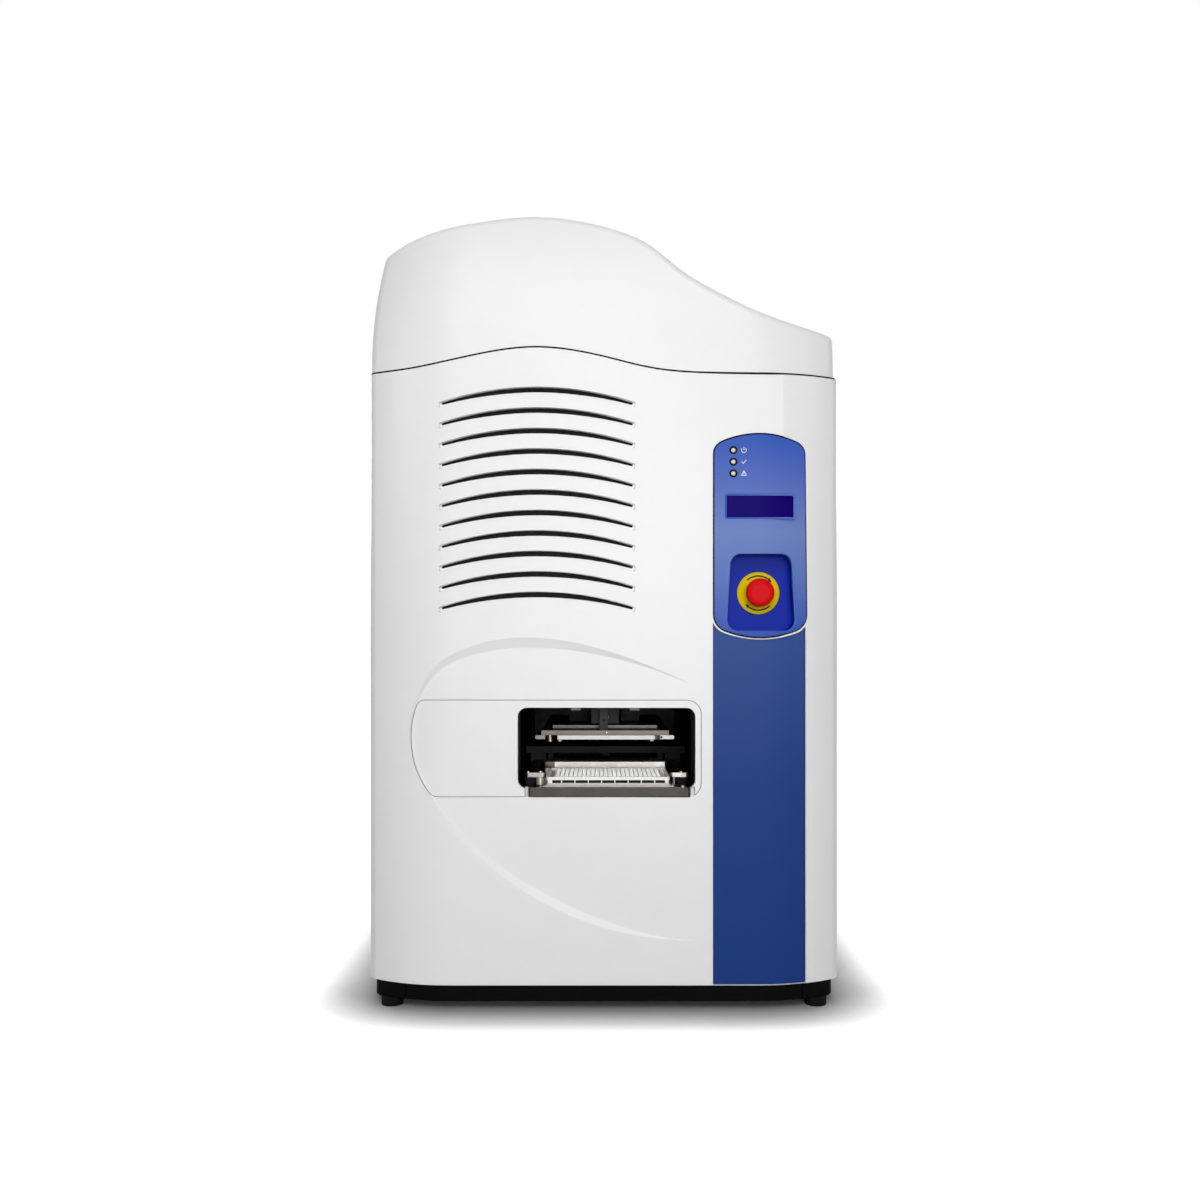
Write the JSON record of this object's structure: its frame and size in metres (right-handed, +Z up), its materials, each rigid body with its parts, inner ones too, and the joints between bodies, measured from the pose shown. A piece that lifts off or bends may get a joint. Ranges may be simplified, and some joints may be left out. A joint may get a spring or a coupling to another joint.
{
  "type": "liquid handling robot",
  "caption": "Bench-top acoustic liquid handler: tall white cabinet with a wave-shaped cover, louvres, blue control panel and a plate slot with two motor-driven plate stages.",
  "frame": {"origin": "centre of the footprint, on the bench under the feet", "axes": "+X to the right seen from the front, +Y back into the machine, +Z up"},
  "size_m": [0.48, 0.68, 0.805],
  "materials": {
    "white_shell": "fine satin moulded",
    "white_panel": "powder coat",
    "black_base": "matt",
    "black_rubber": "matt",
    "blue_panel": "satin",
    "blue_stripe": "satin",
    "display_glass": "gloss",
    "led_clear": "gloss",
    "stop_yellow": "satin",
    "stop_red": "satin",
    "black_plastic": "fine texture",
    "zinc_steel": "zinc plated",
    "frame_steel": "powder coat",
    "black_anodised": "black anodised",
    "clear_anodised": "clear anodised",
    "bronze_anodised": "bronze anodised",
    "polished_steel": "polished",
    "brass": "turned",
    "plate_plastic": "clear moulded",
    "foam_black": "open foam",
    "board_green": "solder mask",
    "bottle_plastic": "translucent"
  },
  "bodies": {
    "cabinet": {"access_bezel": "white_shell", "base_corners": "black_base", "base_plate": "frame_steel", "base_skirt": "black_base", "chamber_liner": "frame_steel", "chassis_frame": "frame_steel", "control_panel": "blue_panel", "controller_board": "board_green", "coupling_pump": "black_plastic", "cover_gasket": "black_rubber", "deck_plate": "black_anodised", "display_module": "display_glass", "door_cylinder": "clear_anodised", "door_guides": "black_anodised", "estop_bush": "black_plastic", "estop_legend": "stop_yellow", "fan_frames": "black_plastic", "fan_guards": "zinc_steel", "feet": "black_rubber", "fluid_bottle": "bottle_plastic", "front_fascia": "white_shell", "led_lenses": "led_clear", "left_side_panel": "white_panel", "panel_standoffs": "zinc_steel", "power_supply": "zinc_steel", "rear_connectors": "black_plastic", "rear_panel": "white_panel", "right_side_panel": "white_panel", "source_motor": "black_plastic", "source_rails": "black_anodised", "source_screw_mounts": "clear_anodised", "stripe_panel": "blue_stripe", "top_cover": "white_shell", "transducer": "clear_anodised", "upper_bridge": "black_anodised", "upper_motor": "black_plastic", "upper_rails": "polished_steel", "upper_screw_mounts": "clear_anodised", "vent_filter": "foam_black"},
    "source_stage": {"source_tray": "clear_anodised", "plate_nest": "black_anodised", "clamp_post": "polished_steel", "source_carriage": "black_anodised"},
    "plate": {"microplate": "plate_plastic"},
    "plate_clamp": {"clamp_lever": "clear_anodised"},
    "source_spindle": {"source_screw": "polished_steel"},
    "upper_stage": {"upper_carriage": "bronze_anodised", "upper_bearing_blocks": "polished_steel", "gripper_frame": "clear_anodised", "locating_plunger": "brass"},
    "left_jaw": {"gripper_jaw_left": "clear_anodised"},
    "right_jaw": {"gripper_jaw_right": "clear_anodised"},
    "upper_spindle": {"upper_screw": "polished_steel"},
    "door": {"access_door": "black_anodised", "door_rod": "polished_steel"},
    "stop_stem": {"estop_stem": "black_plastic"},
    "stop_head": {"estop_button": "stop_red"},
    "left_fan": {"fan_rotor_left": "black_plastic"},
    "right_fan": {"fan_rotor_right": "black_plastic"},
    "rocker": {"power_switch": "black_plastic"}
  },
  "joints": [
    {"name": "source_slide", "type": "slide", "parent": "cabinet", "child": "source_stage", "axis": [0, -1, 0], "range_m": [-0.06, 0.14]},
    {"name": "source_screw_spin", "type": "hinge", "parent": "cabinet", "child": "source_spindle", "pos_m": [0.0025, -0.04, 0.2055], "axis": [0, 1, 0], "range_deg": [-1100, 2540]},
    {"name": "plate_lift", "type": "slide", "parent": "source_stage", "child": "plate", "axis": [0, 0, 1], "range_m": [0, 0.025]},
    {"name": "clamp_pivot", "type": "hinge", "parent": "source_stage", "child": "plate_clamp", "pos_m": [-0.0662, -0.29, 0.231], "axis": [0, 0, 1], "range_deg": [0, 25], "stiffness_Nm_per_rad": 0.02, "springref_deg": -17.19},
    {"name": "upper_slide", "type": "slide", "parent": "cabinet", "child": "upper_stage", "axis": [0, -1, 0], "range_m": [0, 0.17]},
    {"name": "upper_screw_spin", "type": "hinge", "parent": "cabinet", "child": "upper_spindle", "pos_m": [0.0015, -0.04, 0.288], "axis": [0, 1, 0], "range_deg": [-20, 3080]},
    {"name": "jaw_left_slide", "type": "slide", "parent": "upper_stage", "child": "left_jaw", "axis": [-1, 0, 0], "range_m": [0, 0.004], "stiffness_N_per_m": 400, "springref_m": -0.002},
    {"name": "jaw_right_slide", "type": "slide", "parent": "upper_stage", "child": "right_jaw", "axis": [1, 0, 0], "range_m": [0, 0.004], "stiffness_N_per_m": 400, "springref_m": -0.002},
    {"name": "door_slide", "type": "slide", "parent": "cabinet", "child": "door", "axis": [0, 0, 1], "range_m": [-0.081, 0]},
    {"name": "stop_press", "type": "slide", "parent": "cabinet", "child": "stop_stem", "axis": [0, 1, 0], "range_m": [0, 0.004], "stiffness_N_per_m": 1500, "springref_m": -0.002},
    {"name": "stop_twist", "type": "hinge", "parent": "stop_stem", "child": "stop_head", "pos_m": [0.1574, -0.33, 0.4198], "axis": [0, 1, 0], "range_deg": [0, 45], "stiffness_Nm_per_rad": 0.03},
    {"name": "left_fan_spin", "type": "hinge", "parent": "cabinet", "child": "left_fan", "pos_m": [-0.062, 0.313, 0.52], "axis": [0, 1, 0], "continuous": true},
    {"name": "right_fan_spin", "type": "hinge", "parent": "cabinet", "child": "right_fan", "pos_m": [0.062, 0.313, 0.52], "axis": [0, 1, 0], "continuous": true},
    {"name": "rocker_tilt", "type": "hinge", "parent": "cabinet", "child": "rocker", "pos_m": [-0.118, 0.322, 0.092], "axis": [1, 0, 0], "range_deg": [0, 9]}
  ],
  "couplings": [
    {"joint": "source_screw_spin", "follows": "source_slide", "rad_per_m": 314.16},
    {"joint": "upper_screw_spin", "follows": "upper_slide", "rad_per_m": 314.16},
    {"joint": "jaw_right_slide", "follows": "jaw_left_slide", "ratio": 1}
  ]
}
